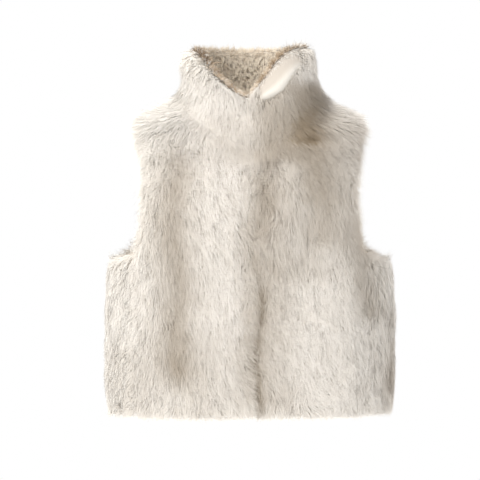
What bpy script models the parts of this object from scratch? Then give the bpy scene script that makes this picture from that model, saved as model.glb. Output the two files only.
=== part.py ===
"""Faux fur vest: cropped, sleeveless, high stand collar, closed down the centre front.

The vest is worn: every piece is a wall as thick as the backing cloth with its pile
pressed down, bent round a general figure. +X is to the right of a viewer in front
(the wearer's left), the fronts face -Y, and the origin lies between the shoulders
at the base of the neck. All sizes are in metres.
"""
from collections import namedtuple
from math import asin, atan2, cos, degrees, exp, pi, radians, sin, sqrt

import bmesh
import bpy
from mathutils import Vector

# Cloth
CLOTH = 0.012            # backing cloth with its pile pressed down
SEAM_GAP = 0.0003        # between two sewn edges
LAID_GAP = 0.0012        # between cloth lying on cloth
FACING = 0.0025          # smooth strip on the collar's front edge

# Heights above the base of the neck
HEM = -0.452
UNDERARM = -0.209        # top of the side seam
UNDERARM_SCOOP = 0.020   # the armhole's lowest point hangs this much lower
ARCH = 0.160             # the cloth starts to bend back to the shoulder here
FRONT_NECK = -0.062      # lowest point of the neckline in front
BACK_NECK = -0.022

# Across
SIDE_SEAM = 0.176        # side seam, seen from the front
NECK_HALF = 0.085        # neckline at the shoulder seam
NECK_ROUND = 1.5         # power of the neckline's curve
NECK_RISE = 0.0145       # shoulder seam at the neck, above the origin
SHOULDER_FALL = 0.42     # fall of the shoulder seam for each metre outwards
SHOULDER_EASE = 0.020    # length over which the fall begins
BODY_ROUND = 2.6         # power of the body's oval
FOLD_FADE = 0.12         # share of a fold's length over which it starts or ends

# Collar, on the line between its outer and inner layer
RIM_HALF = 0.077
RIM_DEPTH = 0.076
RIM_CENTRE = -0.012
NECK_CENTRE = -0.017
FACING_WIDTH = 0.030
FACING_TO = 64           # degrees round from the centre front
FACING_TAPER = 0.6       # share of its width that it loses towards both ends

# Facets
LOW_ROWS = 7
UNDERARM_ROWS = 2
CHEST_ROWS = 4
NECK_ROWS = 6
FRONT_COLUMNS = 9
BACK_COLUMNS = 8
SIDE_COLUMNS = 7
COLLAR_COLUMNS = 40
COLLAR_ROWS = 4
FACING_COLUMNS = 7
FACING_ROWS = 2
STEP = 1e-4              # step for measuring the cloth's slope
HALVINGS = 30            # steps of the search for a height

# Oval sections of the body over the pile, from the hem up
Section = namedtuple("Section", "height half_width front_depth back_depth")
BODY = [
    Section(-0.452, 0.2090, 0.124, 0.122),
    Section(-0.420, 0.2130, 0.125, 0.121),
    Section(-0.340, 0.2130, 0.128, 0.117),
    Section(-0.270, 0.2110, 0.131, 0.115),
    Section(-0.220, 0.2060, 0.134, 0.119),
    Section(-0.170, 0.1920, 0.136, 0.126),
    Section(-0.100, 0.1860, 0.134, 0.129),
    Section(0.0000, 0.1860, 0.130, 0.124),
]

# Free edge of the armhole, front and back, above the side seam
Edge = namedtuple("Edge", "height front back")
ARMHOLE = [
    Edge(-0.209, 0.1760, 0.1760),
    Edge(-0.190, 0.1670, 0.1700),
    Edge(-0.160, 0.1600, 0.1650),
    Edge(-0.120, 0.1580, 0.1630),
    Edge(-0.060, 0.1610, 0.1640),
    Edge(0.0000, 0.1680, 0.1680),
]

# Soft troughs that run down the cloth: where they start and end, and how deep
Fold = namedtuple("Fold", "face x_top x_bottom top bottom half_width depth")
FOLDS = [
    Fold("front", -0.112, -0.108, -0.080, -0.440, 0.020, 0.007),
    Fold("front", 0.012, 0.010, -0.120, -0.452, 0.012, 0.005),
    Fold("front", 0.096, 0.082, -0.115, -0.250, 0.022, 0.006),
    Fold("front", 0.176, 0.180, -0.190, -0.400, 0.014, 0.008),
    Fold("front", -0.176, -0.178, -0.190, -0.360, 0.014, 0.006),
    Fold("back", -0.060, -0.072, -0.160, -0.440, 0.024, 0.006),
    Fold("back", 0.088, 0.070, -0.200, -0.452, 0.020, 0.007),
    Fold("back", 0.006, 0.010, -0.280, -0.452, 0.018, 0.004),
]

# Height of the collar's rim round the neck, in degrees from the centre front
Rim = namedtuple("Rim", "angle wearers_right wearers_left")
RIM = [
    Rim(0, 0.013, 0.014),
    Rim(12, 0.020, 0.038),
    Rim(25, 0.032, 0.064),
    Rim(40, 0.050, 0.083),
    Rim(60, 0.074, 0.090),
    Rim(75, 0.084, 0.091),
    Rim(90, 0.088, 0.091),
    Rim(120, 0.090, 0.090),
    Rim(180, 0.090, 0.090),
]


def ease(start, end, value):
    """0 before start and 1 after end, with a soft change between them."""
    share = min(max((value - start) / (end - start), 0.0), 1.0)
    return share * share * (3 - 2 * share)


def read(table, key, column, at):
    """Value of a column at a place along a table, on a smooth curve through its rows."""
    keys = [getattr(row, key) for row in table]
    values = [getattr(row, column) for row in table]
    at = min(max(at, keys[0]), keys[-1])
    i = max(index for index in range(len(keys) - 1) if keys[index] <= at)

    def slope(index):
        low = max(index - 1, 0)
        high = min(index + 1, len(keys) - 1)
        return (values[high] - values[low]) / (keys[high] - keys[low])

    span = keys[i + 1] - keys[i]
    t = (at - keys[i]) / span
    rise = t * t * (3 - 2 * t)
    start = span * slope(i) * t * (1 - t) ** 2
    end = span * slope(i + 1) * t * t * (t - 1)
    return values[i] + (values[i + 1] - values[i]) * rise + start + end


def fold_depth(x, face, height):
    """How far the troughs press the cloth in at a place."""
    total = 0.0
    for fold in FOLDS:
        if fold.face != face:
            continue
        share = (fold.top - height) / (fold.top - fold.bottom)
        middle = fold.x_top + (fold.x_bottom - fold.x_top) * share
        fade = ease(-FOLD_FADE, FOLD_FADE, share) * (1 - ease(1 - FOLD_FADE, 1 + FOLD_FADE, share))
        total += fold.depth * fade * exp(-((x - middle) / fold.half_width) ** 2)
    return total


def shoulder(x):
    """Height of the shoulder seam over a place across the body."""
    out = abs(x) - NECK_HALF
    return NECK_RISE - SHOULDER_FALL * (sqrt(out * out + SHOULDER_EASE ** 2) + out) / 2


def arch(height):
    """How far the cloth still stands off the shoulder seam, from 0 at the seam to 1."""
    left = 1 - min(-height / ARCH, 1.0)
    return sqrt(max(1 - left * left, 0.0))


def body(angle, height):
    """Point over the pile: angle round from the centre front, height before the shoulder's fall."""
    face = "front" if abs(angle) < pi / 2 else "back"
    half_width = read(BODY, "height", "half_width", height)
    depth = read(BODY, "height", face + "_depth", height)
    across = abs(sin(angle)) / half_width
    along = abs(cos(angle)) / depth
    radius = (across ** BODY_ROUND + along ** BODY_ROUND) ** (-1 / BODY_ROUND)
    radius -= fold_depth(radius * sin(angle), face, height)
    x = radius * sin(angle)
    y = -radius * cos(angle) * arch(height)
    z = height + shoulder(x) * ease(-0.20, 0.0, height)
    return Vector((x, y, z))


def angle_at(x, face, height):
    """Angle at which the body's oval is x across."""
    half_width = read(BODY, "height", "half_width", height)
    depth = read(BODY, "height", face + "_depth", height)
    y = depth * (1 - (abs(x) / half_width) ** BODY_ROUND) ** (1 / BODY_ROUND)
    angle = atan2(abs(x), y if face == "front" else -y)
    return angle if x >= 0 else -angle


def body_pair(angle, height):
    """Outer and inner point of the cloth."""
    point = body(angle, height)
    round_body = body(angle + STEP, height) - body(angle - STEP, height)
    up_body = body(angle, min(height + STEP, 0.0)) - body(angle, height - STEP)
    normal = round_body.cross(up_body).normalized()
    return point, point - CLOTH * normal


def neck_curve(degrees_round, lowest):
    """Half width and height of the neckline, from the centre (0) to the shoulder seam (90)."""
    turn = radians(degrees_round)
    power = 2 / NECK_ROUND
    return NECK_HALF * sin(turn) ** power, lowest * max(cos(turn), 0.0) ** power


def panel_rows(lowest_neck):
    """Rows of a front or half back: height and neckline's half width at that height."""
    rows = [(HEM + (UNDERARM - HEM) * i / LOW_ROWS, 0.0) for i in range(LOW_ROWS)]
    rows += [(UNDERARM + (-ARCH - UNDERARM) * i / UNDERARM_ROWS, 0.0) for i in range(UNDERARM_ROWS)]
    neck_turn = asin(arch(lowest_neck))
    for i in range(CHEST_ROWS):
        turn = pi / 2 + (neck_turn - pi / 2) * i / CHEST_ROWS
        rows.append((-ARCH * (1 - cos(turn)), 0.0))
    for i in range(NECK_ROWS + 1):
        half_width, height = neck_curve(90 * i / NECK_ROWS, lowest_neck)
        rows.append((min(height, 0.0), half_width))
    return rows


def panel(face, side, columns, edge_in):
    """Patch from the centre line or neckline out to the side seam or armhole."""
    patch = []
    rows = panel_rows(FRONT_NECK if face == "front" else BACK_NECK)
    for index, (height, neck_half) in enumerate(rows):
        inner = max(neck_half, edge_in)
        outer = read(ARMHOLE, "height", face, height)
        if face == "front" and index <= LOW_ROWS:
            outer = SIDE_SEAM - SEAM_GAP / 2
        row = []
        for column in range(columns + 1):
            x = side * (inner + (outer - inner) * column / columns)
            angle = angle_at(x, face, height)
            pair = body_pair(angle, height)
            if index == len(rows) - 1:
                for point in pair:
                    point.y = (-1 if face == "front" else 1) * SEAM_GAP / 2
            row.append(pair)
        patch.append(row)
    return patch


def side_patch(side):
    """The back's wing: from below the back of the armhole round to the side seam."""
    patch = []
    for index in range(LOW_ROWS + 1):
        row = []
        for column in range(SIDE_COLUMNS + 1):
            share = column / SIDE_COLUMNS
            top = UNDERARM - UNDERARM_SCOOP * sin(pi * share)
            height = HEM + (top - HEM) * index / LOW_ROWS
            start = angle_at(read(ARMHOLE, "height", "back", height), "back", height)
            end = angle_at(SIDE_SEAM + SEAM_GAP / 2, "front", height)
            row.append(body_pair(side * (start + (end - start) * share), height))
        patch.append(row)
    return patch


def neckline(degrees_round):
    """Point of the neckline over the pile, in degrees from the centre front, + to +X."""
    face = "front" if abs(degrees_round) <= 90 else "back"
    lowest = FRONT_NECK if face == "front" else BACK_NECK
    turn = abs(degrees_round) if face == "front" else 180 - abs(degrees_round)
    half_width, height = neck_curve(turn, lowest)
    x = half_width if degrees_round >= 0 else -half_width
    return body(angle_at(x, face, min(height, 0.0)), min(height, 0.0))


def cloth_height(x, y):
    """Height of the cloth over the shoulders, above a point of the floor plan."""
    face = "front" if y < 0 else "back"
    low = -ARCH
    high = 0.0
    for _ in range(HALVINGS):
        height = (low + high) / 2
        if abs(body(angle_at(x, face, height), height).y) > abs(y):
            low = height
        else:
            high = height
    return body(angle_at(x, face, high), high).z


def collar_point(degrees_round, share, offset):
    """Point of the collar: share of its height, and distance out from its middle line."""
    turn = radians(degrees_round)
    foot = neckline(degrees_round)
    outwards = Vector((foot.x, foot.y - NECK_CENTRE, 0)).normalized()
    foot = foot + outwards * offset
    column = "wearers_left" if degrees_round >= 0 else "wearers_right"
    rim = Vector((
        (RIM_HALF + offset) * sin(turn),
        RIM_CENTRE - (RIM_DEPTH + offset) * cos(turn),
        read(RIM, "angle", column, abs(degrees_round)),
    ))
    foot.z = cloth_height(foot.x, foot.y) + LAID_GAP
    return foot.lerp(rim, share)


def collar_layer(outer, inner):
    """Patch of one layer of the collar, from one front edge round the neck to the other."""
    end = degrees(asin(SEAM_GAP / 2 / RIM_HALF))
    patch = []
    for row in range(COLLAR_ROWS + 1):
        share = row / COLLAR_ROWS
        pairs = []
        for column in range(COLLAR_COLUMNS + 1):
            angle = end + (360 - 2 * end) * column / COLLAR_COLUMNS
            angle = angle if angle <= 180 else angle - 360
            pairs.append((collar_point(angle, share, outer), collar_point(angle, share, inner)))
        patch.append(pairs)
    return patch


def facing_patch():
    """Strip moved out from the collar's outer layer along its rim, on the wearer's left."""
    patch = []
    for row in range(FACING_ROWS + 1):
        pairs = []
        for column in range(FACING_COLUMNS + 1):
            along = column / FACING_COLUMNS
            angle = 1 + (FACING_TO - 1) * along
            width = FACING_WIDTH * (1 - FACING_TAPER * (2 * along - 1) ** 2)
            height = (collar_point(angle, 1, CLOTH) - collar_point(angle, 0, CLOTH)).length
            share = 1 - width / height * (1 - row / FACING_ROWS)
            low = collar_point(angle, share, CLOTH + LAID_GAP)
            high = collar_point(angle, share, CLOTH + LAID_GAP + FACING)
            pairs.append((high, low))
        patch.append(pairs)
    return patch


def fabric(name, colour, roughness):
    material = bpy.data.materials.new(name)
    material.use_nodes = True
    shader = material.node_tree.nodes["Principled BSDF"]
    shader.inputs["Base Color"].default_value = (*colour, 1)
    shader.inputs["Roughness"].default_value = roughness
    shader.inputs["Metallic"].default_value = 0.0
    return material


def cloth(name, patches, material):
    """One closed wall: its outer skin is laid in quads, then extruded to the inner points."""
    skin = bmesh.new()
    vertices = {}
    inner_points = {}
    for patch in patches:
        for row in patch:
            for outer, inner in row:
                place = tuple(round(value, 6) for value in outer)
                if place not in vertices:
                    vertices[place] = skin.verts.new(outer)
                    inner_points[tuple(vertices[place].co)] = inner
        for low, high in zip(patch, patch[1:]):
            for i in range(len(low) - 1):
                corners = [low[i], low[i + 1], high[i + 1], high[i]]
                places = [tuple(round(value, 6) for value in outer) for outer, _ in corners]
                quad = [vertices[place] for place in dict.fromkeys(places)]
                skin.faces.new(quad)
    extruded = bmesh.ops.extrude_face_region(skin, geom=skin.faces[:], use_keep_orig=True)
    for item in extruded["geom"]:
        if isinstance(item, bmesh.types.BMVert):
            item.co = inner_points[tuple(item.co)]
    bmesh.ops.recalc_face_normals(skin, faces=skin.faces[:])
    mesh = bpy.data.meshes.new(name)
    skin.to_mesh(mesh)
    skin.free()
    mesh.materials.append(material)
    mesh.shade_smooth()
    mesh.set_sharp_from_angle(angle=radians(50))
    piece = bpy.data.objects.new(name, mesh)
    bpy.context.scene.collection.objects.link(piece)
    return piece


for old in list(bpy.data.objects):
    bpy.data.objects.remove(old, do_unlink=True)

long_pile = fabric("ivory_long_pile", (0.78, 0.71, 0.62), 0.85)
short_pile = fabric("tan_short_pile", (0.52, 0.43, 0.33), 0.9)
smooth_cloth = fabric("smooth_facing_cloth", (0.80, 0.73, 0.66), 0.7)

cloth("right_front", [panel("front", -1, FRONT_COLUMNS, SEAM_GAP / 2)], long_pile)
cloth("left_front", [panel("front", 1, FRONT_COLUMNS, SEAM_GAP / 2)], long_pile)
back_patches = [panel("back", side, BACK_COLUMNS, 0.0) for side in (-1, 1)]
back_patches += [side_patch(side) for side in (-1, 1)]
cloth("back", back_patches, long_pile)
cloth("collar_outer", [collar_layer(CLOTH, SEAM_GAP / 2)], long_pile)
cloth("collar_inner", [collar_layer(-SEAM_GAP / 2, -CLOTH)], short_pile)
cloth("collar_facing", [facing_patch()], smooth_cloth)
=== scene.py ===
import math
from collections import namedtuple

import bmesh
import bpy
import numpy as np
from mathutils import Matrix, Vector, kdtree, noise


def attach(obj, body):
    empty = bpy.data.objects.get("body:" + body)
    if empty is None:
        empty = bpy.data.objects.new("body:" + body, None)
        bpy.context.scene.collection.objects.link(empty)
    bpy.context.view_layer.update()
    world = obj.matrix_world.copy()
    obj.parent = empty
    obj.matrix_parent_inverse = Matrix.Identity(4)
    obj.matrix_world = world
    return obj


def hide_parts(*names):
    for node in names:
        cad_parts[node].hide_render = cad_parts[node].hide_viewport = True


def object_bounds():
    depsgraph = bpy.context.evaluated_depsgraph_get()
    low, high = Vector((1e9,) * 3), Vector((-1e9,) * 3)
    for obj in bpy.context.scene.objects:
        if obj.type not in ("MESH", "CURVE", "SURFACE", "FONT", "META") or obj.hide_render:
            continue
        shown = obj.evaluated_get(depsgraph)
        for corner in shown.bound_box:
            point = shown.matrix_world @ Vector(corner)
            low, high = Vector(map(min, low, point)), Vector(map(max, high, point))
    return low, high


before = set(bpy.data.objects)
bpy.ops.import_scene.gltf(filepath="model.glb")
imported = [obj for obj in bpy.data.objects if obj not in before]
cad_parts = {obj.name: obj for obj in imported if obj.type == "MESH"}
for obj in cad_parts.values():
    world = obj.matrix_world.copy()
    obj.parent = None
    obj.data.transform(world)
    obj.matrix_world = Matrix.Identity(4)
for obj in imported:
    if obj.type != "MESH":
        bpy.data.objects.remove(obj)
cad_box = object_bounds()
bpy.ops.object.select_all(action="DESELECT")

# The backing cloth: a thin knitted ground that the pile is worked into, cut as two fronts,
# a back and two collar layers, and sewn at the shoulders, sides and neckline. Each piece
# is the skin of its wall that lies away from the pile, smoothed and given the knit's thickness.
BACKING = 0.0015
WALL_CORNER = math.radians(28)
BACKING_COLOUR = (0.72, 0.64, 0.54)
BETWEEN_ROWS = 0.72      # how dark the cloth is between its rows of knit
Cut = namedtuple("Cut", "name node skin slot width length area")
LARGER = 0               # a wall's outer skin, by area
SMALLER = 1              # its inner skin
CUTS = [
    Cut("backing_right_front", "right_front", SMALLER, "long_pile", 0.205, 0.480, 0.078),
    Cut("backing_left_front", "left_front", SMALLER, "long_pile", 0.205, 0.480, 0.078),
    Cut("backing_back", "back", SMALLER, "long_pile", 0.640, 0.480, 0.220),
    Cut("backing_collar_outer", "collar_outer", SMALLER, "long_pile", 0.520, 0.110, 0.050),
    Cut("backing_collar_inner", "collar_inner", LARGER, "short_pile", 0.520, 0.110, 0.042),
]


def wall_skin(node, which):
    """One skin of a wall, facing the pile. which is LARGER or SMALLER."""
    wall = bmesh.new()
    wall.from_mesh(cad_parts[node].data)
    bmesh.ops.remove_doubles(wall, verts=wall.verts[:], dist=1e-5)
    skins = []
    left = set(wall.faces)
    while left:
        skin = [left.pop()]
        for face in skin:
            for edge in face.edges:
                for other in edge.link_faces:
                    if other in left and edge.calc_face_angle(math.pi) < WALL_CORNER:
                        left.remove(other)
                        skin.append(other)
        skins.append(skin)
    skins.sort(key=lambda skin: sum(face.calc_area() for face in skin), reverse=True)
    kept = set(skins[which])
    bmesh.ops.delete(wall, geom=[face for face in wall.faces if face not in kept], context="FACES")
    bmesh.ops.join_triangles(
        wall, faces=wall.faces[:], angle_face_threshold=0.6, angle_shape_threshold=1.4
    )
    bmesh.ops.reverse_faces(wall, faces=wall.faces[:])
    return wall


def apply_modifier(piece, kind, **settings):
    modifier = piece.modifiers.new(kind.lower(), kind)
    for name, value in settings.items():
        setattr(modifier, name, value)
    bpy.context.view_layer.objects.active = piece
    bpy.ops.object.modifier_apply(modifier=modifier.name)


def new_material(name, roughness, sheen):
    """A material with its nodes, its links and its shader."""
    material = bpy.data.materials.new(name)
    material.use_nodes = True
    nodes = material.node_tree.nodes
    shader = nodes["Principled BSDF"]
    shader.inputs["Roughness"].default_value = roughness
    shader.inputs["Sheen Weight"].default_value = sheen
    return material, nodes, material.node_tree.links, shader


def knitted_backing():
    """Fine rows of knit, seen inside the hem, armholes and neck."""
    material, nodes, links, shader = new_material("knitted_backing", roughness=0.9, sheen=0.2)
    place = nodes.new("ShaderNodeTexCoord")
    knit = nodes.new("ShaderNodeTexWave")
    knit.bands_direction = "Z"
    knit.inputs["Scale"].default_value = 75
    knit.inputs["Distortion"].default_value = 2.5
    patches = nodes.new("ShaderNodeTexNoise")
    patches.inputs["Scale"].default_value = 30
    links.new(place.outputs["Object"], knit.inputs["Vector"])
    links.new(place.outputs["Object"], patches.inputs["Vector"])
    tint = nodes.new("ShaderNodeMix")
    tint.data_type = "RGBA"
    tint.inputs[6].default_value = [value * BETWEEN_ROWS for value in BACKING_COLOUR] + [1]
    tint.inputs[7].default_value = (*BACKING_COLOUR, 1)
    mottle = nodes.new("ShaderNodeMath")
    mottle.operation = "MULTIPLY_ADD"
    mottle.inputs[1].default_value = 0.55
    links.new(knit.outputs["Fac"], mottle.inputs[0])
    links.new(patches.outputs["Fac"], mottle.inputs[2])
    links.new(mottle.outputs["Value"], tint.inputs[0])
    links.new(tint.outputs[2], shader.inputs["Base Color"])
    bump = nodes.new("ShaderNodeBump")
    bump.inputs["Strength"].default_value = 0.35
    bump.inputs["Distance"].default_value = 0.0006
    links.new(knit.outputs["Fac"], bump.inputs["Height"])
    links.new(bump.outputs["Normal"], shader.inputs["Normal"])
    return material


knit_material = knitted_backing()
skins = {}
backings = {}
for cut in CUTS:
    sheet = wall_skin(cut.node, cut.skin)
    mesh = bpy.data.meshes.new(cut.name)
    sheet.to_mesh(mesh)
    sheet.free()
    piece = bpy.data.objects.new(cut.name, mesh)
    bpy.context.scene.collection.objects.link(piece)
    apply_modifier(piece, "SUBSURF", levels=1, render_levels=1, boundary_smooth="PRESERVE_CORNERS")
    skins[cut.node] = piece.data.copy()
    apply_modifier(piece, "SOLIDIFY", thickness=BACKING, offset=1, use_even_offset=True)
    piece.data.materials.append(knit_material)
    piece.data.shade_smooth()
    backings[cut.node] = piece

# The long pile of the fronts and the back: soft acrylic hair about 28 mm long, brushed
# down over the cloth and clinging together in locks. It is palest at the tips, and pressed
# flat in the soft troughs that run down the fronts, where browner underfur and painted
# shade darken it.
Pile = namedtuple("Pile", "length height width lock pull curl")
LONG_PILE = Pile(length=0.026, height=0.0145, width=0.00036, lock=6, pull=0.14, curl=0.0006)
HEM = cad_box[0].z
HEM_TIPS = HEM - 0.0085  # how low the tips reach
HEM_SLOPE = 0.030        # how they rise towards the wearer's left
TONES = 64               # columns of the strands' own UV map
STRAND_SHARES = np.array([0.0, 0.5, 1.0])
STRAND_WIDTHS = np.array([0.85, 1.0])
STRAND_ROLL = 0.9        # radians either way
TIP_SCATTER = 0.0012
LOCK_SPREAD = 0.3        # how far the tips of one lock stay apart
BEND_RISE = 1.25         # how a strand rises before it bends over, as a share of its height
BEND_CEILING = 0.017     # the height above which it rises no more
BEND_REACH = 0.22        # how far along the strand it bends
SOFTNESS = 0.90          # how far a strand is shaded as the cloth under it, not as a ribbon

# Soft troughs down the body: where each runs, how far it presses the pile, and how far it
# browns and darkens it, partly as painted shade, and under the collar on the wearer's left as a
# painted shadow
Trough = namedtuple("Trough", "front x_top x_bottom top bottom half_width press brown")
TROUGHS = [
    Trough(True, -0.107, -0.104, -0.055, -0.430, 0.029, 0.25, 0.45),
    Trough(True, -0.075, -0.064, -0.330, -0.480, 0.040, 0.05, 0.13),
    Trough(True, -0.165, -0.160, -0.360, -0.500, 0.045, 0.05, 0.11),
    Trough(True, -0.028, -0.018, -0.015, -0.090, 0.030, 0.00, 0.13),
    Trough(True, 0.024, 0.032, 0.015, -0.210, 0.022, 0.10, 0.23),
    Trough(True, 0.010, 0.020, 0.080, -0.100, 0.085, 0.00, 0.07),
    Trough(True, 0.008, 0.008, -0.085, -0.470, 0.023, 0.05, 0.35),
    Trough(True, 0.015, 0.013, -0.265, -0.478, 0.007, 0.45, 0.30),
    Trough(True, 0.038, 0.046, -0.200, -0.465, 0.024, 0.05, 0.20),
    Trough(True, 0.078, 0.088, 0.031, -0.066, 0.026, 0.30, 0.53),
    Trough(True, 0.048, 0.052, 0.030, -0.090, 0.030, 0.05, 0.22),
    Trough(True, 0.078, 0.082, -0.010, -0.270, 0.044, 0.05, 0.21),
    Trough(True, 0.086, 0.086, -0.050, -0.150, 0.030, 0.05, 0.10),
    Trough(True, 0.100, 0.105, -0.050, -0.210, 0.024, 0.15, 0.22),
    Trough(True, 0.130, 0.138, -0.010, -0.230, 0.024, 0.10, 0.16),
    Trough(True, 0.164, 0.166, 0.030, -0.100, 0.018, 0.00, 0.26),
    Trough(True, 0.160, 0.167, -0.165, -0.325, 0.019, 0.25, 0.35),
    Trough(True, 0.206, 0.208, -0.310, -0.465, 0.017, 0.15, 0.48),
    Trough(True, 0.208, 0.210, -0.345, -0.430, 0.015, 0.00, 0.26),
    Trough(False, -0.060, -0.072, -0.040, -0.450, 0.022, 0.30, 0.33),
    Trough(False, 0.088, 0.070, -0.080, -0.460, 0.018, 0.30, 0.35),
    Trough(False, 0.006, 0.010, -0.180, -0.460, 0.013, 0.25, 0.24),
]


def soft_step(start, end, value):
    share = np.clip((value - start) / (end - start), 0, 1)
    return share * share * (3 - 2 * share)


def unit(vectors):
    return vectors / np.maximum(np.linalg.norm(vectors, axis=-1, keepdims=True), 1e-9)


def troughs_at(places):
    """How far the pile is pressed, and how far it is browned and darkened by painted shade, at each
    place, each from 0 to about 0.6.
    """
    x, y, z = places.T
    press = np.zeros(len(places))
    brown = np.zeros(len(places))
    for trough in TROUGHS:
        share = (trough.top - z) / (trough.top - trough.bottom)
        middle = trough.x_top + (trough.x_bottom - trough.x_top) * share
        middle = middle + 0.004 * np.sin(38 * z + 9 * trough.x_top)
        fade = soft_step(-0.08, 0.12, share) * (1 - soft_step(0.88, 1.02, share))
        here = soft_step(0.010, -0.050, y if trough.front else -y) * fade
        here = here * np.exp(-(((x - middle) / trough.half_width) ** 2))
        press += here * trough.press
        brown += here * trough.brown
    return np.minimum(press, 0.55), np.minimum(brown, 0.8)


def scatter(mesh, count, rng):
    """Places spread evenly over a skin, with the skin's normal at each."""
    mesh.calc_loop_triangles()
    corners = np.empty(len(mesh.loop_triangles) * 3, int)
    mesh.loop_triangles.foreach_get("vertices", corners)
    corners = corners.reshape(-1, 3)
    points = np.empty(len(mesh.vertices) * 3)
    mesh.vertices.foreach_get("co", points)
    points = points.reshape(-1, 3)
    normals = np.empty(len(mesh.vertices) * 3)
    mesh.vertex_normals.foreach_get("vector", normals)
    normals = normals.reshape(-1, 3)
    a, b, c = (points[corners[:, i]] for i in range(3))
    area = np.linalg.norm(np.cross(b - a, c - a), axis=1)
    picked = rng.choice(len(area), count, p=area / area.sum())
    s, t = rng.random((2, count))
    over = s + t > 1
    s[over], t[over] = 1 - s[over], 1 - t[over]
    weights = np.stack([1 - s - t, s, t], axis=1)[..., None]
    places = (points[corners[picked]] * weights).sum(axis=1)
    return places, unit((normals[corners[picked]] * weights).sum(axis=1))


def turn(directions, normals, angles):
    """Directions turned in the cloth's own plane."""
    angles = angles[:, None]
    return directions * np.cos(angles) + np.cross(normals, directions) * np.sin(angles)


def lay_flat(directions, normals):
    """Directions laid along the cloth."""
    return unit(directions - normals * (directions * normals).sum(axis=1, keepdims=True))


Edges = namedtuple("Edges", "middles halves outwards normals")


def free_edges(skin, others, sewn, skip):
    """The skin's edges that are further than sewn from every other skin."""
    seams = kdtree.KDTree(sum(len(other.vertices) for other in others))
    for other in others:
        for vertex in other.vertices:
            seams.insert(vertex.co, 0)
    seams.balance()
    mesh = bmesh.new()
    mesh.from_mesh(skin)
    rows = []
    for edge in mesh.edges:
        middle = (edge.verts[0].co + edge.verts[1].co) / 2
        if not edge.is_boundary or seams.find(middle)[2] < sewn or skip(middle):
            continue
        face = edge.link_faces[0]
        half = (edge.verts[1].co - edge.verts[0].co) / 2
        outward = half.cross(face.normal).normalized()
        if outward.dot(middle - face.calc_center_median()) < 0:
            outward.negate()
        rows.append((middle, half, outward, face.normal))
    mesh.free()
    return Edges(*np.array(rows).transpose(1, 0, 2))


def towards_edges(places, edges):
    """The distance to the nearest free edge from each place, and that edge's outward way."""
    tree = kdtree.KDTree(len(edges.middles))
    for number, middle in enumerate(edges.middles):
        tree.insert(middle, number)
    tree.balance()
    found = [tree.find(place) for place in places]
    distance = np.array([spot[2] for spot in found])
    return distance, edges.outwards[[spot[1] for spot in found]]


def edge_row(edges, count, rng):
    """Places along the free edges, with the outward way and the skin's normal at each."""
    lengths = np.linalg.norm(edges.halves, axis=1)
    picked = rng.choice(len(lengths), count, p=lengths / lengths.sum())
    places = edges.middles[picked] + edges.halves[picked] * rng.uniform(-1, 1, (count, 1))
    return places, edges.outwards[picked], edges.normals[picked]


def with_row(places, normals, edges, row):
    """Roots over the cloth and, after them, a row of roots along its free edge.

    Gives each root's place, normal, outward way and distance to the edge, and whether it
    is in the row.
    """
    distance, outwards = towards_edges(places, edges)
    row_places, row_outwards, row_normals = row
    in_row = np.arange(len(places) + len(row_places)) >= len(places)
    places = np.concatenate([places, row_places])
    normals = np.concatenate([normals, row_normals])
    outwards = np.concatenate([outwards, row_outwards])
    distance = np.concatenate([distance, np.zeros(len(row_places))])
    return places, normals, outwards, distance, in_row


def drift(places, size, stretch=1.0):
    """Slow random change over the cloth, about -1 to 1. stretch draws it out along the pile."""
    scaled = places / size * np.array([1.0, 1.0, 1.0 / stretch])
    return np.array([noise.noise(place) for place in scaled]) * 1.6


def wander(places):
    """Turns of the brushed pile, in radians: broad swirls, then the lie of single tufts."""
    return 0.26 * drift(places, 0.045, 1.5) + 0.26 * drift(places + 3.0, 0.014, 1.3)


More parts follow.
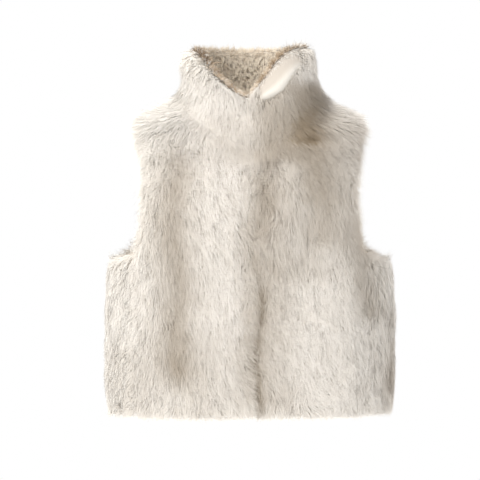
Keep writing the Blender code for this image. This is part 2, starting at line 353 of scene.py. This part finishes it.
def strand_mesh(name, roots, normals, combs, lengths, heights, pile, tones, rng, over=None):
    """Hair as one mesh: each strand is a narrow ribbon with a pointed tip.

    over turns the shading where the pile rolls over an edge.
    """
    count = len(roots)
    centres = rng.choice(count, max(count // pile.lock, 1), replace=False)
    tree = kdtree.KDTree(len(centres))
    for number, centre in enumerate(centres):
        tree.insert(roots[centre], number)
    tree.balance()
    lock = centres[[tree.find(root)[1] for root in roots]]
    tips = roots + combs * lengths[:, None] + normals * heights[:, None]
    pull = np.clip(pile.pull * (1 + rng.standard_normal(count)), 0, 0.95)[:, None]
    lock_tips = tips[lock] + LOCK_SPREAD * (roots - roots[lock])
    tips = tips * (1 - pull) + lock_tips * pull
    tips += rng.standard_normal((count, 3)) * TIP_SCATTER
    rises = normals * np.minimum(heights, BEND_CEILING)[:, None] * BEND_RISE
    bends = roots + rises + (tips - roots) * BEND_REACH
    shares = STRAND_SHARES[None, :, None]
    lines = (1 - shares) ** 2 * roots[:, None] + 2 * shares * (1 - shares) * bends[:, None]
    lines = lines + shares ** 2 * tips[:, None]
    along = unit(np.gradient(lines, axis=1))
    across = unit(np.cross(along, normals[:, None]))
    lines[:, 1] += across[:, 1] * (pile.curl * rng.standard_normal(count))[:, None]
    roll = rng.uniform(-STRAND_ROLL, STRAND_ROLL, count)[:, None, None]
    across = across * np.cos(roll) + np.cross(along, across) * np.sin(roll)
    widths = pile.width * rng.uniform(0.6, 1.35, (count, 1)) * STRAND_WIDTHS / 2
    points = np.empty((count, 5, 3), np.float32)
    points[:, 0:4:2] = lines[:, :2] - across[:, :2] * widths[..., None]
    points[:, 1:4:2] = lines[:, :2] + across[:, :2] * widths[..., None]
    points[:, 4] = lines[:, 2]
    corners = np.array([0, 1, 3, 2, 2, 3, 4])
    mesh = bpy.data.meshes.new(name)
    mesh.vertices.add(count * 5)
    mesh.vertices.foreach_set("co", points.ravel())
    mesh.loops.add(count * len(corners))
    numbers = (np.arange(count)[:, None] * 5 + corners).ravel()
    mesh.loops.foreach_set("vertex_index", numbers.astype(np.int32))
    mesh.polygons.add(count * 2)
    starts = (np.arange(count)[:, None] * len(corners) + np.array([0, 4])).ravel()
    mesh.polygons.foreach_set("loop_start", starts.astype(np.int32))
    mesh.update(calc_edges=True)
    column = np.clip((tones * TONES).astype(int), 0, TONES - 1)
    side = 0.3 * np.array([-1, 1, 1, -1, -1, 1, 0])
    up = STRAND_SHARES[[0, 0, 1, 1, 1, 1, 2]]
    uv = np.empty((count, len(corners), 2), np.float32)
    uv[..., 0] = (column[:, None] + 0.5 + side) / TONES
    uv[..., 1] = 0.02 + 0.96 * up
    mesh.uv_layers.new(name="OFBake").data.foreach_set("uv", uv.ravel())
    mesh.shade_smooth()
    facing_out = unit(np.cross(across, along))[:, [0, 0, 1, 1, 2]]
    rounded = normals if over is None else unit(normals + over)
    soft = unit(rounded[:, None] * SOFTNESS + facing_out * (1 - SOFTNESS))
    mesh.normals_split_custom_set_from_vertices(soft.reshape(-1, 3).tolist())
    piece = bpy.data.objects.new(name, mesh)
    bpy.context.scene.collection.objects.link(piece)
    return piece


def pile_material(name, root, middle, tip, dark, sheen, deepest=None):
    """Hair coloured along its length, and toned from strand to strand.

    A tone of 1 leaves the colour as it is, and 0 multiplies it by dark. With deepest, 0
    multiplies it by deepest, and dark stands at 0.3.
    """
    material, nodes, links, shader = new_material(name, 0.62, sheen)
    shader.inputs["Specular IOR Level"].default_value = 0.35
    shader.inputs["Sheen Roughness"].default_value = 0.45
    strand = nodes.new("ShaderNodeUVMap")
    strand.uv_map = "OFBake"
    split = nodes.new("ShaderNodeSeparateXYZ")
    links.new(strand.outputs["UV"], split.inputs["Vector"])
    length = nodes.new("ShaderNodeValToRGB")
    length.color_ramp.elements[0].color = (*root, 1)
    length.color_ramp.elements[1].color = (*tip, 1)
    halfway = length.color_ramp.elements.new(0.45)
    halfway.color = (*middle, 1)
    links.new(split.outputs["Y"], length.inputs["Fac"])
    tone = nodes.new("ShaderNodeValToRGB")
    tone.color_ramp.elements[0].color = (*dark, 1)
    tone.color_ramp.elements[1].color = (1, 1, 1, 1)
    if deepest is not None:
        tone.color_ramp.elements[0].color = (*deepest, 1)
        tone.color_ramp.elements.new(0.3).color = (*dark, 1)
    links.new(split.outputs["X"], tone.inputs["Fac"])
    blend = nodes.new("ShaderNodeMix")
    blend.data_type = "RGBA"
    blend.blend_type = "MULTIPLY"
    blend.inputs[0].default_value = 1.0
    links.new(length.outputs["Color"], blend.inputs[6])
    links.new(tone.outputs["Color"], blend.inputs[7])
    links.new(blend.outputs[2], shader.inputs["Base Color"])
    return material


def body_comb(places, normals):
    """The way the pile is brushed: down, to one side over the fronts, and out at the sides."""
    x, y, z = places.T
    front = soft_step(0.02, -0.06, y)
    high = soft_step(-0.16, -0.02, z)
    lean = 0.30 + 0.45 * high * soft_step(0.03, 0.12, x) - 0.60 * soft_step(-0.09, -0.17, x)
    lean = lean * (1 - 0.9 * soft_step(0.11, 0.14, x) * soft_step(-0.24, -0.18, z))
    lean = front * lean + (1 - front) * 0.25 * x / 0.15
    outwards = np.sign(x) * 0.9 * soft_step(0.50, 1.00, normals[:, 2])
    combs = np.stack([lean + outwards, np.zeros(len(x)), -np.ones(len(x))], axis=1)
    combs = lay_flat(combs, normals)
    middle = np.exp(-(((x - 0.022) / 0.02) ** 2))
    tousled = front * middle * soft_step(-0.28, -0.10, z)
    calm = 1 - 0.5 * soft_step(0.3, 0.8, normals[:, 2]) - 0.5 * soft_step(0.14, 0.19, np.abs(x))
    tousled += 0.6 * front * soft_step(0.06, 0.02, z - HEM)
    return turn(combs, normals, wander(places) * (calm + 2.0 * tousled))


ivory_pile = pile_material(
    "ivory_long_pile", root=(0.90, 0.84, 0.76), middle=(0.94, 0.895, 0.83), tip=(0.97, 0.94, 0.90),
    dark=(0.29, 0.215, 0.125), sheen=0.2,
)
Growth = namedtuple("Growth", "name node low high count width seed")
FAR = 9                  # further to either side than the vest reaches
BODY_GROWTHS = [
    Growth("pile_right_front", "right_front", -FAR, FAR, 55000, 1.0, 11),
    Growth("pile_left_front", "left_front", -FAR, FAR, 55000, 1.0, 12),
    Growth("pile_back_right", "back", -FAR, -0.09, 41200, 1.12, 13),
    Growth("pile_back_middle", "back", -0.09, 0.09, 37500, 1.12, 14),
    Growth("pile_back_left", "back", 0.09, FAR, 41200, 1.12, 15),
]
TRIES = 8                # places drawn for each strand, since many are outside the growth
CROWDED = 0.8            # how much denser the pile stands over the shoulders
ROW = 3000               # strands along the whole free edge of a piece
EDGE_BAND = 0.012        # where the pile begins to turn over a free edge
SEWN = 0.008             # skins nearer than this are sewn together
FORWARDS = np.array([-0.3, -0.9, 0.0])     # turns the shading to the front


def over_shoulder(places, normals):
    """1 where the pile bends over the shoulder, and 0 on the body and at the armhole."""
    return soft_step(0.30, 0.80, normals[:, 2]) * soft_step(0.172, 0.13, np.abs(places[:, 0]))


def at_neckline(middle):
    """The neckline's edge, which is sewn to the collar."""
    return middle.z > -0.065 and abs(middle.x) < 0.092


body_piles = {"right_front": [], "left_front": [], "back": []}
body_edges = {}
for node in body_piles:
    neighbours = [skins[other] for other in body_piles if other != node]
    body_edges[node] = free_edges(skins[node], neighbours, SEWN, at_neckline)
for growth in BODY_GROWTHS:
    rng = np.random.default_rng(growth.seed)
    edges = body_edges[growth.node]
    places, normals = scatter(skins[growth.node], growth.count * TRIES, rng)
    inside = (places[:, 0] >= growth.low) & (places[:, 0] < growth.high)
    flank = soft_step(0.15, 0.20, np.abs(places[:, 0])) * soft_step(0.06, 0.0, places[:, 1])
    crowding = CROWDED * np.maximum(over_shoulder(places, normals), 0.7 * flank)
    inside &= rng.random(len(places)) < (1 + crowding) / (1 + CROWDED)
    kept = inside.nonzero()[0][:growth.count]
    row = edge_row(edges, ROW, rng)
    inside = (row[0][:, 0] >= growth.low) & (row[0][:, 0] < growth.high)
    row = [values[inside] for values in row]
    roots, normals, outwards, distance, in_row = with_row(
        places[kept], normals[kept], edges, row
    )
    count = len(roots)
    x, y, z = roots.T
    combs = body_comb(roots, normals)
    # What shows is the outer half of a strand, so the troughs are read there
    press, brown = troughs_at(roots + combs * LONG_PILE.length * 0.6)
    flank = soft_step(0.165, 0.20, np.abs(x))
    combs = turn(combs, normals, 0.24 * (1 - 0.5 * flank) * rng.standard_normal(count))
    # The pile turns over the free edges, and less so under the arms
    at_edge = 1 - soft_step(0, EDGE_BAND, distance)
    over_edge = 0.8 * soft_step(0.10, 0.13, x) + 0.4 * soft_step(-0.10, -0.13, x)
    over_edge = 1.1 - over_edge * soft_step(-0.23, -0.19, z)
    combs = unit(combs + outwards * (over_edge * at_edge)[:, None])
    # It is pressed down in the troughs and stands fuller over the shoulders and flanks
    shoulder = over_shoulder(roots, normals)
    tip_of_shoulder = soft_step(0.140, 0.165, np.abs(x)) * soft_step(-0.12, -0.07, z)
    fullness = (1 - press) * (1 + 0.14 * drift(roots + 7.0, 0.022, 1.6) * (1 - shoulder))
    fullness *= 1 + (0.80 + 0.12 * soft_step(-0.05, -0.10, x)) * shoulder + 0.25 * flank
    fullness *= 1 + tip_of_shoulder * np.where(x > 0, -0.60, 0.25)
    middle = soft_step(0.02, -0.06, y) * np.exp(-(((x - 0.028) / 0.022) ** 2))
    middle *= soft_step(-0.30, -0.16, z)
    unevenness = 0.18 * (1 - 0.6 * np.maximum(shoulder, flank)) + 0.20 * middle
    heights = LONG_PILE.height * fullness * (1.10 - unevenness * rng.random(count))
    lengths = LONG_PILE.length * rng.uniform(0.60, 1.12, count) * (1 + 0.25 * shoulder)
    # The row along a free edge is short and ragged, and hides the cloth's cut edge
    heights[in_row] *= rng.uniform(-0.1, 1.0, in_row.sum())
    near_hem = soft_step(0.03, 0.01, z - HEM)[in_row]
    lengths[in_row] *= 0.55 + 0.45 * near_hem * soft_step(0.0, -0.10, x[in_row])
    ragged = np.clip(rng.standard_normal((in_row.sum(), 3)), -1.6, 1.6)
    combs[in_row] = unit(outwards[in_row] + 0.35 * ragged)
    # Strands near the hem are cut off in one ragged line
    reach = np.maximum(-combs[:, 2], 0.3)
    room = np.maximum(z - HEM_TIPS - HEM_SLOPE * np.minimum(x + 0.03, 0.03), 0.005) / reach
    lengths = np.minimum(lengths, room * rng.uniform(0.55, 1.0, count))
    # Browner underfur and painted shade darken the troughs; painted light makes the right shoulder
    # and the right flank paler, on the lamp's side; and it is paler at the hem
    tones = 0.895 + 0.03 * (1 - 0.5 * flank) * rng.standard_normal(count) - brown
    tones += 0.08 * soft_step(-0.06, -0.10, x) * soft_step(-0.12, -0.05, z)
    tones += 0.04 * soft_step(-0.15, -0.18, x) * soft_step(-0.36, -0.30, z)
    tones += 0.06 * (1 - 0.6 * flank) * drift(roots + 11.0, 0.006, 4.0)
    tones += 0.03 * soft_step(0.045, 0.0, z - HEM)
    roots = roots + normals * BACKING / 2
    pull = LONG_PILE.pull * (1 - 0.9 * shoulder) * (1 - 0.9 * flank) * (1 + 1.6 * middle)
    widths = LONG_PILE.width * growth.width * (1 + 0.5 * shoulder[:, None])
    right_shoulder = (shoulder * soft_step(-0.05, -0.10, x))[:, None]
    piece = strand_mesh(
        growth.name, roots, normals, combs, lengths, heights,
        LONG_PILE._replace(width=widths, pull=pull), tones, rng, FORWARDS * right_shoulder,
    )
    piece.data.materials.append(ivory_pile)
    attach(piece, "root")
    body_piles[growth.node].append(piece)

# The outer collar: the same long pile on a high stand. It is brushed down and outwards, so
# that it spreads over the shoulders at the collar's foot, and it stands up along the rim.
COLLAR_PILE = LONG_PILE._replace(length=0.025, height=0.0140, width=0.00042)
COLLAR_STRANDS = 55000
COLLAR_ROW = 7000
COLLAR_SEWN = 0.024      # the collar's edge this near to the body is its foot
COLLAR_MIDDLE = -0.017   # the neck's centre, front to back
RIM_BAND = 0.007
FACING_END = 82          # degrees round the neck from the centre front, on the wearer's left
body_skins = [skins["right_front"], skins["left_front"], skins["back"]]


def collar_rim(node):
    """The rim of a collar layer: not its foot, and not its closed centre front."""
    return free_edges(
        skins[node], body_skins, COLLAR_SEWN,
        lambda middle: middle.y < 0 and abs(middle.x) < 0.006 and middle.z < 0.009,
    )


rng = np.random.default_rng(21)
outer_rim = collar_rim("collar_outer")
places, normals = scatter(skins["collar_outer"], COLLAR_STRANDS, rng)
row = edge_row(outer_rim, COLLAR_ROW, rng)
roots, normals, outwards, distance, in_row = with_row(places, normals, outer_rim, row)
count = len(roots)
at_rim = 1 - soft_step(0, RIM_BAND, distance)
low = soft_step(0.030, 0.075, distance)
sideways = np.abs(normals[:, 0])
down = np.stack([0.10 + 0.5 * roots[:, 0] / 0.08, np.zeros(count), -np.ones(count)], axis=1)
combs = turn(lay_flat(down, normals), normals, 0.45 * wander(roots))
brown = troughs_at(roots + combs * COLLAR_PILE.length * 0.8)[1]
combs = turn(combs, normals, 0.17 * rng.standard_normal(count))
# Some of the strands along the rim stand up, and the rest lie over it
lift = at_rim * rng.uniform(0.0, 0.5, count)
fluff = 0.35 + 0.25 * soft_step(0.0, 0.04, roots[:, 0])
stands_up = in_row & (rng.random(count) < fluff)
lift[in_row] = rng.uniform(0.0, 0.2, in_row.sum())
lift[stands_up] = rng.uniform(0.6, 1.0, stands_up.sum())
ragged = 0.5 * rng.standard_normal((count, 3))
combs = unit(combs * (1 - lift)[:, None] + (outwards + ragged) * lift[:, None])
# The pile is full at the sides of the neck and flat at the foot in front and behind
heights = COLLAR_PILE.height * rng.uniform(0.84, 1.06, count)
heights *= 1 + 0.50 * sideways
side_top = sideways * soft_step(0.040, 0.010, distance) * soft_step(-0.02, -0.05, roots[:, 0])
heights *= 1 + 0.40 * side_top
heights *= 1 + low * (1.00 * sideways - 0.80 * (1 - sideways))
lengths = COLLAR_PILE.length * rng.uniform(0.60, 1.12, count)
lengths *= 1 + low * (rng.uniform(-0.3, 0.8, count) - 0.3 * (1 - sideways))
lengths *= (1 - 0.25 * at_rim) * (1 - 0.6 * lift) * (1 - 0.3 * side_top)
heights[in_row] *= rng.uniform(0.2, 0.9, in_row.sum())
heights[stands_up] *= rng.uniform(-0.6, 0.7, stands_up.sum())
lengths[in_row] *= rng.uniform(0.5, 1.1, in_row.sum())
lengths[stands_up] *= 1 + 0.7 * soft_step(0.04, 0.07, roots[stands_up, 0])
# The pile is short under the facing, which lies on it
around = np.degrees(np.arctan2(roots[:, 0], COLLAR_MIDDLE - roots[:, 1]))
under = soft_step(7, 16, around) * soft_step(FACING_END - 16, FACING_END - 28, around)
under *= soft_step(0.026, 0.016, distance)
heights *= 1 - (0.55 + 0.40 * in_row) * under
lengths *= 1 - (0.65 + 0.31 * in_row) * under
# Painted shade from the troughs darkens the front, most of all low on the wearer's left, and a
# painted highlight makes the rim paler
tones = 0.93 + 0.025 * rng.standard_normal(count) - brown
tones += 0.035 * drift(roots + 11.0, 0.006, 3.0) + 0.04 * at_rim
pull = 0.5 * COLLAR_PILE.pull * (1 - at_rim) * (1 - 0.7 * low * sideways)
near_rim = soft_step(0.030, 0.0, distance)[:, None]
left_corner = near_rim * soft_step(0.03, 0.06, roots[:, :1])
over_rim = outwards * near_rim + FORWARDS * left_corner
collar_pile = strand_mesh(
    "pile_collar_outer", roots + normals * BACKING / 2, normals, combs, lengths, heights,
    COLLAR_PILE._replace(pull=pull), tones, rng, over_rim,
)
collar_pile.data.materials.append(ivory_pile)
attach(collar_pile, "root")

# The inner collar: a shorter, browner pile that lies against the wearer's neck. It is
# sewn to the outer layer along the rim, where its dark tips show over the edge, made
# darker still with painted shade.
INNER_PILE = Pile(length=0.010, height=0.0100, width=0.0007, lock=9, pull=0.45, curl=0.0016)
INNER_STRANDS = 20000
INNER_ROW = 3500
INNER_BAND = 0.010
tan_pile = pile_material(
    "tan_short_pile", root=(0.80, 0.68, 0.54), middle=(0.90, 0.80, 0.66), tip=(0.97, 0.90, 0.78),
    dark=(0.56, 0.47, 0.38), deepest=(0.16, 0.11, 0.07), sheen=0.1,
)
rng = np.random.default_rng(22)
inner_rim = collar_rim("collar_inner")
places, normals = scatter(skins["collar_inner"], INNER_STRANDS, rng)
row = edge_row(inner_rim, INNER_ROW, rng)
roots, normals, outwards, distance, in_row = with_row(places, normals, inner_rim, row)
count = len(roots)
at_rim = 1 - soft_step(0, INNER_BAND, distance)
down = lay_flat(np.tile([0.0, 0.0, -1.0], (count, 1)), normals)
combs = turn(down, normals, wander(roots) * 1.5 + 0.6 * rng.standard_normal(count))
lift = at_rim * rng.uniform(0.3, 1.0, count)
lift[in_row] = 1.0
ragged = 0.6 * rng.standard_normal((count, 3))
combs = unit(combs * (1 - lift)[:, None] + (outwards + ragged) * lift[:, None])
heights = INNER_PILE.height * rng.uniform(0.5, 1.2, count)
heights[in_row] *= rng.uniform(-1.3, 0.4, in_row.sum())
lengths = INNER_PILE.length * rng.uniform(0.5, 1.2, count)
# Mottled, and dark along the rim in front, most of all on the wearer's right: partly its
# dark tips, and partly painted shade that keeps the lit rim as dark as the shaded inside
tones = 0.93 + 0.10 * rng.standard_normal(count) + 0.30 * drift(roots, 0.012)
tones += 0.10 - 0.12 * soft_step(-0.050, -0.066, roots[:, 0])
right_half = soft_step(0.02, -0.01, roots[:, 0])
tones -= at_rim * soft_step(0.02, -0.04, roots[:, 1]) * (0.64 + 0.12 * right_half)
inner_pile = strand_mesh(
    "pile_collar_inner", roots + normals * BACKING / 2, normals, combs, lengths, heights,
    INNER_PILE, tones, rng,
)
inner_pile.data.materials.append(tan_pile)
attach(inner_pile, "root")

# Every backing cloth stands for its wall, which is hidden, and carries its pile. In the vest
# the back holds the others up: the fronts hang from its shoulder seams, and the collar stands
# in its neckline. Here each backing, like each pile, hangs from the one root body.
for cut in CUTS:
    piece = backings[cut.node]
    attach(piece, "root")
    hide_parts(cut.node)

# The facing: a strip of smooth cloth turned over the collar's front edge, on the wearer's
# left. It starts inside the edge, passes over it and lies on the outer pile in a soft roll.
FACING_THICKNESS = 0.0022
FACING_START = -1        # degrees, as FACING_END
FACING_ROWS = 40
FACING_TAN = np.array([0.53, 0.475, 0.415])
FACING_PALE = np.array([0.74, 0.70, 0.64])
FACING_PROFILE = np.array([     # in mm: out of the collar's face, and up past its edge
    (-1.0, -2.0), (1.8, -0.5), (4.6, -1.5), (7.2, -5.5), (9.4, -11.0), (11.4, -17.0),
    (12.8, -21.5), (13.2, -25.0), (11.5, -30.0), (7.5, -34.5), (-1.0, -37.5),
]) / 1000
rim_turn = np.degrees(np.arctan2(outer_rim.middles[:, 0], COLLAR_MIDDLE - outer_rim.middles[:, 1]))
rim_order = np.argsort(rim_turn)
turns = np.linspace(FACING_START, FACING_END, FACING_ROWS)


def rim_at(turns, values):
    """Values of the rim's edges, read at turns in degrees round the neck."""
    columns = [np.interp(turns, rim_turn[rim_order], values[rim_order, i]) for i in range(3)]
    return np.stack(columns, axis=1)


def facing_material():
    """Smooth cloth with a fine weave, in the strip's tan and pale colours, with painted light that
    brightens its upper end.
    """
    material, nodes, links, shader = new_material("smooth_facing_cloth", 0.75, sheen=0.3)
    place = nodes.new("ShaderNodeTexCoord")
    weave = nodes.new("ShaderNodeTexNoise")
    weave.inputs["Scale"].default_value = 900
    links.new(place.outputs["Object"], weave.inputs["Vector"])
    shade = nodes.new("ShaderNodeMix")
    shade.data_type = "RGBA"
    shade.inputs[6].default_value = (0.90, 0.90, 0.89, 1)
    shade.inputs[7].default_value = (1.0, 1.0, 1.0, 1)
    links.new(weave.outputs["Fac"], shade.inputs[0])
    colour_and_light = nodes.new("ShaderNodeAttribute")
    colour_and_light.attribute_name = "colour_and_light"
    coloured_and_lit = nodes.new("ShaderNodeMix")
    coloured_and_lit.data_type = "RGBA"
    coloured_and_lit.blend_type = "MULTIPLY"
    coloured_and_lit.inputs[0].default_value = 1.0
    links.new(colour_and_light.outputs["Color"], coloured_and_lit.inputs[6])
    links.new(shade.outputs[2], coloured_and_lit.inputs[7])
    links.new(coloured_and_lit.outputs[2], shader.inputs["Base Color"])
    bump = nodes.new("ShaderNodeBump")
    bump.inputs["Strength"].default_value = 0.3
    bump.inputs["Distance"].default_value = 0.0004
    links.new(weave.outputs["Fac"], bump.inputs["Height"])
    links.new(bump.outputs["Normal"], shader.inputs["Normal"])
    return material


rim_line = rim_at(turns, outer_rim.middles)
rim_out = unit(rim_at(turns, outer_rim.normals))
rim_up = unit(rim_at(turns, outer_rim.outwards))
# Both ends narrow and sink into the pile
taper = 0.45 + 0.55 * soft_step(-4, 18, turns)
taper = taper * (1 - 0.45 * soft_step(FACING_END - 30, FACING_END, turns))
lift_up = FACING_PROFILE[:, 1][None, :] * np.where(FACING_PROFILE[:, 1] < 0, taper[:, None], 1.0)
sink = 0.009 * (1 - soft_step(-2, 9, turns))
sink += 0.018 * soft_step(FACING_END - 24, FACING_END - 2, turns)
lift_out = FACING_PROFILE[:, 0][None, :] - sink[:, None]
facing_points = rim_line[:, None] + rim_out[:, None] * lift_out[..., None]
facing_points = facing_points + rim_up[:, None] * lift_up[..., None]
width = len(FACING_PROFILE)
facing_faces = [
    (row * width + i, row * width + i + 1, (row + 1) * width + i + 1, (row + 1) * width + i)
    for row in range(FACING_ROWS - 1) for i in range(width - 1)
]
facing_mesh = bpy.data.meshes.new("facing_collar")
facing_mesh.from_pydata(facing_points.reshape(-1, 3).tolist(), [], facing_faces)
# Tan where it turns into the collar, and paler over the roll; painted light makes it
# brighter towards its upper end, where less light falls
across = np.tile(np.linspace(0, 1, width), FACING_ROWS)[:, None]
along = np.repeat(np.linspace(0, 1, FACING_ROWS), width)[:, None]
tan_to_pale = soft_step(0.55, 0.67, across)
facing_colour_and_light = FACING_TAN * (1 - tan_to_pale) + FACING_PALE * tan_to_pale
facing_colour_and_light = np.concatenate([facing_colour_and_light * (0.94 + 0.14 * along), np.ones_like(along)], axis=1)
colour_and_light = facing_mesh.attributes.new("colour_and_light", "FLOAT_COLOR", "POINT")
colour_and_light.data.foreach_set("color", facing_colour_and_light.ravel())
facing = bpy.data.objects.new("facing_collar", facing_mesh)
bpy.context.scene.collection.objects.link(facing)
first_face = facing_mesh.polygons[width // 2]
if first_face.normal.dot(Vector(rim_out[0])) < 0:
    facing_mesh.flip_normals()
apply_modifier(facing, "SUBSURF", levels=1, render_levels=1)
apply_modifier(facing, "SOLIDIFY", thickness=FACING_THICKNESS, offset=-1, use_even_offset=True)
facing.data.shade_smooth()
facing.data.materials.append(facing_material())
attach(facing, "root")
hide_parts("collar_facing")

# The studio: a white surround, a large soft light from the viewer's upper left, a weak one
# from the right, and a pale floor far below, where the wearer would stand.
PIXEL = 0.00152          # metres of the vest for each pixel of the photograph
PHOTO_SIDE = 480
PHOTO_CENTRE = Vector((-10 * PIXEL, 0, -130 * PIXEL))
CAMERA_DISTANCE = 3.4
CAMERA_RISE = math.radians(2.5)
SURROUND_LIGHT = 0.75
FLOOR = -1.25

camera = bpy.data.objects.new("camera", bpy.data.cameras.new("camera"))
bpy.context.scene.collection.objects.link(camera)
camera.location = PHOTO_CENTRE + CAMERA_DISTANCE * Vector(
    (0, -math.cos(CAMERA_RISE), math.sin(CAMERA_RISE))
)
camera.rotation_euler = (math.pi / 2 - CAMERA_RISE, 0, 0)
camera.data.lens = CAMERA_DISTANCE * camera.data.sensor_width / (PHOTO_SIDE * PIXEL)
camera.data.clip_start = 0.1
camera.data.clip_end = 100
bpy.context.scene.camera = camera


def soft_light(name, place, aim, side, power, colour):
    lamp = bpy.data.lights.new(name, "AREA")
    lamp.size = side
    lamp.energy = power
    lamp.color = colour
    light = bpy.data.objects.new(name, lamp)
    light.location = place
    light.rotation_euler = (Vector(aim) - Vector(place)).to_track_quat("-Z", "Y").to_euler()
    bpy.context.scene.collection.objects.link(light)


soft_light("key_light", (-1.8, -2.2, 1.9), (0, 0, -0.15), 2.2, 105, (1.0, 0.985, 0.955))
soft_light("fill_light", (1.4, -2.8, 0.2), (0, 0, -0.2), 2.0, 14, (1.0, 0.985, 0.97))
soft_light("top_light", (-0.3, 0.4, 2.4), (0, 0, 0), 1.8, 37, (1.0, 0.99, 0.975))
soft_light("back_light", (1.2, 3.0, 1.2), (0, 0, -0.2), 2.4, 45, (1.0, 0.99, 0.98))

world = bpy.data.worlds.new("white_surround")
world.use_nodes = True
bpy.context.scene.world = world
surround = world.node_tree.nodes["Background"]
surround.inputs["Color"].default_value = (1, 1, 1, 1)
# The camera sees white, and the vest is lit by a little less
ray = world.node_tree.nodes.new("ShaderNodeLightPath")
strength = world.node_tree.nodes.new("ShaderNodeMix")
strength.inputs[2].default_value = SURROUND_LIGHT
strength.inputs[3].default_value = 1.0
world.node_tree.links.new(ray.outputs["Is Camera Ray"], strength.inputs[0])
world.node_tree.links.new(strength.outputs[0], surround.inputs["Strength"])
bpy.context.scene.view_settings.view_transform = "Standard"

bpy.ops.mesh.primitive_circle_add(vertices=96, radius=3.0, fill_type="NGON", location=(0, 0, FLOOR))
floor = bpy.context.active_object
floor.name = "floor"
floor_paint, *_, shader = new_material("pale_floor", 0.8, sheen=0)
shader.inputs["Base Color"].default_value = (0.92, 0.92, 0.91, 1)
shader.inputs["Emission Color"].default_value = (1, 1, 1, 1)
shader.inputs["Emission Strength"].default_value = 0.25
floor.data.materials.append(floor_paint)
